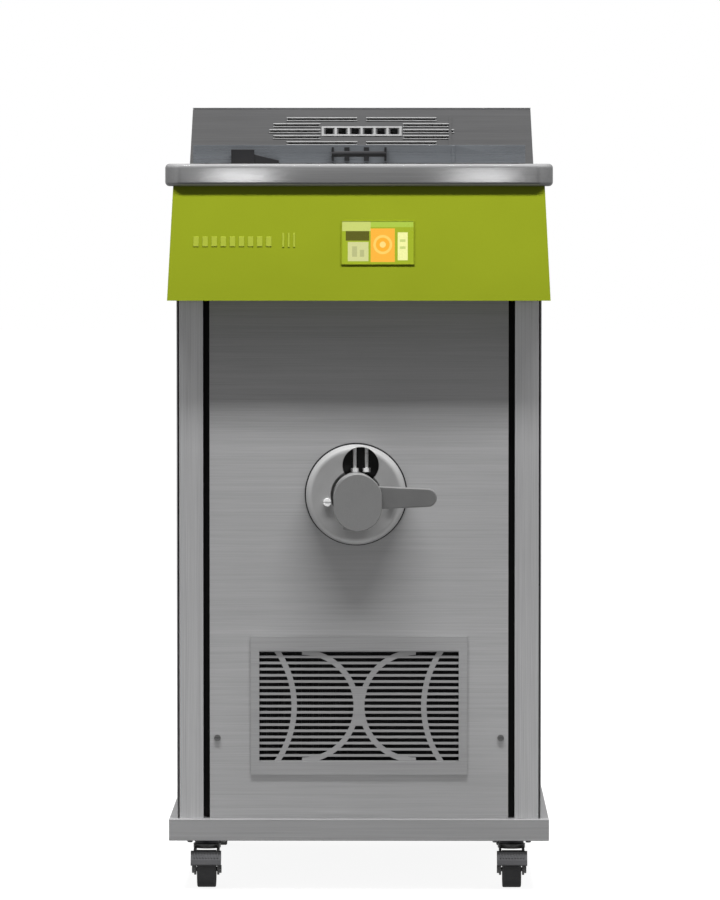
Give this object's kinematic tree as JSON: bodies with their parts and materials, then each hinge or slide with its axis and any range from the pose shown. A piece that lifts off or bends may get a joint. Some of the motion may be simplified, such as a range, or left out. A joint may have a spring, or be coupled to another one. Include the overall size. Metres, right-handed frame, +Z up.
{
  "type": "ice cream machine",
  "caption": "Floor-standing steel ice cream machine with a cooled tank, stirrer, front tap with lever, hinged lid, vented hood and swivel castors.",
  "frame": {"origin": "on the floor at the middle of the machine's outline", "axes": "+Z up, front with tap and screen towards -Y, +X to the right seen from the front"},
  "size_m": [0.535, 0.746, 1.0885],
  "materials": {
    "brushed_steel": "brushed",
    "polished_steel": "polished",
    "dark_steel": "satin",
    "zinc_steel": "zinc plated",
    "lime_paint": "satin powder coat",
    "matt_steel": "bead blasted",
    "black_plastic": "matt",
    "grey_plastic": "matt",
    "screen_glass": "lit display",
    "board_green": "solder mask",
    "rubber": "matt",
    "insulation_foam": "foam",
    "copper_pipe": "drawn",
    "black_paint": "gloss",
    "fin_aluminium": "rolled",
    "motor_aluminium": "cast"
  },
  "bodies": {
    "cabinet": {"base_frame": "brushed_steel", "base_plate": "zinc_steel", "front_columns": "brushed_steel", "front_panel": "brushed_steel", "side_panel_left": "brushed_steel", "side_panel_right": "brushed_steel", "rear_panel": "brushed_steel", "worktop": "brushed_steel", "fascia": "lime_paint", "screen_bezel": "black_plastic", "screen_glass": "screen_glass", "control_board": "board_green", "hood_front": "brushed_steel", "hood_top": "brushed_steel", "hood_sides": "brushed_steel", "vent_grille": "brushed_steel", "panel_screws": "zinc_steel", "cable_gland": "black_plastic", "motor_shelf": "zinc_steel", "electrical_box": "grey_plastic", "tank": "brushed_steel", "tank_insulation": "insulation_foam", "evaporator_coil": "copper_pipe", "outlet_pipe": "polished_steel", "tap_gasket": "rubber", "tap_flange": "polished_steel", "tap_fasteners": "polished_steel", "tap_body": "matt_steel", "bearing_housing": "dark_steel", "drive_belt": "rubber", "gear_motor": "motor_aluminium", "lid_hinge": "zinc_steel", "lid_switch": "black_plastic", "compressor": "black_paint", "compressor_feet": "rubber", "condenser": "fin_aluminium", "fan_shroud": "black_plastic", "fan_motor": "motor_aluminium", "castor_plates": "zinc_steel"},
    "lid": {"lid": "brushed_steel", "lid_seal": "rubber", "lid_handle": "black_plastic"},
    "tap_handle": {"tap_plug": "polished_steel", "tap_lever": "brushed_steel", "tap_cap": "matt_steel"},
    "stirrer": {"stirrer_shaft": "polished_steel", "stirrer_paddle": "polished_steel", "driven_pulley": "dark_steel"},
    "motor_pulley": {"drive_pulley": "dark_steel"},
    "fan": {"fan_blades": "black_plastic"},
    "castor_fl": {"castor_fork_fl": "zinc_steel"},
    "wheel_fl": {"castor_wheel_fl": "rubber"},
    "brake_fl": {"brake_pedal_fl": "grey_plastic"},
    "castor_fr": {"castor_fork_fr": "zinc_steel"},
    "wheel_fr": {"castor_wheel_fr": "rubber"},
    "brake_fr": {"brake_pedal_fr": "grey_plastic"},
    "castor_rl": {"castor_fork_rl": "zinc_steel"},
    "wheel_rl": {"castor_wheel_rl": "rubber"},
    "castor_rr": {"castor_fork_rr": "zinc_steel"},
    "wheel_rr": {"castor_wheel_rr": "rubber"}
  },
  "joints": [
    {"name": "lid_hinge", "type": "hinge", "parent": "cabinet", "child": "lid", "pos_m": [0, 0.222, 1.015], "axis": [-1, 0, 0], "range_deg": [0, 95]},
    {"name": "tap_turn", "type": "hinge", "parent": "cabinet", "child": "tap_handle", "pos_m": [-0.004, -0.359, 0.549], "axis": [0, 1, 0], "range_deg": [0, 90]},
    {"name": "stirrer_spin", "type": "hinge", "parent": "cabinet", "child": "stirrer", "pos_m": [0, -0.007, 0.5], "axis": [0, 0, 1], "continuous": true},
    {"name": "motor_spin", "type": "hinge", "parent": "cabinet", "child": "motor_pulley", "pos_m": [0, 0.168, 0.45], "axis": [0, 0, 1], "continuous": true},
    {"name": "fan_spin", "type": "hinge", "parent": "cabinet", "child": "fan", "pos_m": [0, -0.169, 0.246], "axis": [0, 1, 0], "continuous": true},
    {"name": "swivel_fl", "type": "hinge", "parent": "cabinet", "child": "castor_fl", "pos_m": [-0.212, -0.22, 0.056], "axis": [0, 0, 1], "continuous": true},
    {"name": "roll_fl", "type": "hinge", "parent": "castor_fl", "child": "wheel_fl", "pos_m": [-0.212, -0.238, 0.025], "axis": [1, 0, 0], "continuous": true},
    {"name": "brake_fl", "type": "hinge", "parent": "castor_fl", "child": "brake_fl", "pos_m": [-0.212, -0.262, 0.05], "axis": [1, 0, 0], "range_deg": [0, 18]},
    {"name": "swivel_fr", "type": "hinge", "parent": "cabinet", "child": "castor_fr", "pos_m": [0.212, -0.22, 0.056], "axis": [0, 0, 1], "continuous": true},
    {"name": "roll_fr", "type": "hinge", "parent": "castor_fr", "child": "wheel_fr", "pos_m": [0.212, -0.238, 0.025], "axis": [1, 0, 0], "continuous": true},
    {"name": "brake_fr", "type": "hinge", "parent": "castor_fr", "child": "brake_fr", "pos_m": [0.212, -0.262, 0.05], "axis": [1, 0, 0], "range_deg": [0, 18]},
    {"name": "swivel_rl", "type": "hinge", "parent": "cabinet", "child": "castor_rl", "pos_m": [-0.212, 0.302, 0.056], "axis": [0, 0, 1], "continuous": true},
    {"name": "roll_rl", "type": "hinge", "parent": "castor_rl", "child": "wheel_rl", "pos_m": [-0.212, 0.284, 0.025], "axis": [1, 0, 0], "continuous": true},
    {"name": "swivel_rr", "type": "hinge", "parent": "cabinet", "child": "castor_rr", "pos_m": [0.212, 0.302, 0.056], "axis": [0, 0, 1], "continuous": true},
    {"name": "roll_rr", "type": "hinge", "parent": "castor_rr", "child": "wheel_rr", "pos_m": [0.212, 0.284, 0.025], "axis": [1, 0, 0], "continuous": true}
  ],
  "couplings": [
    {"joint": "motor_spin", "follows": "stirrer_spin", "ratio": 2.4}
  ]
}
